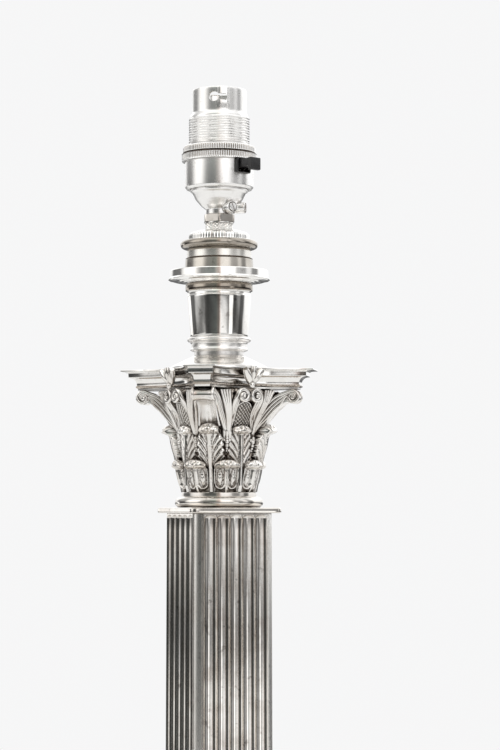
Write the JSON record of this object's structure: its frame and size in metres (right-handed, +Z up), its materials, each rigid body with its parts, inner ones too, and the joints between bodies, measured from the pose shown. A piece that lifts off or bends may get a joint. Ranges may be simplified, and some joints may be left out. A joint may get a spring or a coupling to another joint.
{
  "type": "column table lamp",
  "caption": "Square fluted column table lamp with a leafy capital, drip pan, candle cup and switched bayonet lampholder on a stepped weighted base.",
  "frame": {"origin": "centre of the underside of the base, on the surface the lamp stands on", "axes": "+Z up along the column, the shaft's faces are parallel to X and Y, the front faces -Y and the cord entry faces +Y"},
  "size_m": [0.136, 0.136, 0.518],
  "materials": {
    "silver": "polished silver plate with dark patina in the hollows",
    "nickel_plate": "polished plated brass",
    "satin_nickel": "satin nickel plate",
    "bung_metal": "worn warm plated brass",
    "black_plastic": "black moulded plastic",
    "insulator": "cream moulded insulator",
    "brass": "turned brass",
    "spring_steel": "drawn wire",
    "zinc_steel": "zinc-plated steel",
    "cast_iron": "rough cast",
    "baize": "green baize",
    "bush_plastic": "black moulded plastic"
  },
  "bodies": {
    "lamp": {"abacus": "silver", "abacus_dome": "silver", "adapter_collar": "nickel_plate", "adapter_ring": "nickel_plate", "baize_pad": "baize", "base_screws": "zinc_steel", "base_shell": "silver", "bead_border": "silver", "beaded_neck": "nickel_plate", "berry_drops": "silver", "bung_sleeve": "bung_metal", "candle_cup": "silver", "cap_screw": "satin_nickel", "capital_base_ring": "silver", "capital_bell": "silver", "centring_discs": "zinc_steel", "clamp_ring": "satin_nickel", "closing_plate": "zinc_steel", "column_base": "silver", "column_shaft": "silver", "contact_block": "insulator", "cord_entry_bush": "bush_plastic", "corner_leaves": "silver", "corner_volutes": "silver", "cup_stem": "silver", "drip_pan": "silver", "face_leaves": "silver", "fleurons": "silver", "grub_screw": "satin_nickel", "holder_barrel": "satin_nickel", "holder_cap": "satin_nickel", "holder_skirt": "satin_nickel", "inner_scrolls": "silver", "knurled_collar": "nickel_plate", "loading_weight": "cast_iron", "lock_nut": "nickel_plate", "lock_washer": "nickel_plate", "lower_leaves": "silver", "necking_plate": "silver", "plinth": "silver", "plinth_moulding": "silver", "plunger_spring_left": "spring_steel", "plunger_spring_right": "spring_steel", "rod_nut": "zinc_steel", "rod_washer": "zinc_steel", "shields": "silver", "switch_surrounds": "black_plastic", "terminal_screws": "brass", "terminals": "brass", "tie_rod": "zinc_steel"},
    "shade_ring": {"shade_ring": "satin_nickel"},
    "plunger_left": {"contact_plunger_left": "brass"},
    "plunger_right": {"contact_plunger_right": "brass"},
    "switch_bar": {"switch_bar": "black_plastic", "switch_contact": "brass"}
  },
  "joints": [
    {"name": "shade_ring_travel", "type": "slide", "parent": "lamp", "child": "shade_ring", "axis": [0, 0, 1], "range_m": [0, 0.0125]},
    {"name": "switch_push", "type": "slide", "parent": "lamp", "child": "switch_bar", "axis": [0.309, -0.9511, 0], "range_m": [-0.0055, 0]},
    {"name": "plunger_left_press", "type": "slide", "parent": "lamp", "child": "plunger_left", "axis": [0, 0, -1], "range_m": [0, 0.0042], "stiffness_N_per_m": 1200, "springref_m": -0.0015, "deforming": ["plunger_spring_left"]},
    {"name": "plunger_right_press", "type": "slide", "parent": "lamp", "child": "plunger_right", "axis": [0, 0, -1], "range_m": [0, 0.0042], "stiffness_N_per_m": 1200, "springref_m": -0.0015, "deforming": ["plunger_spring_right"]}
  ]
}
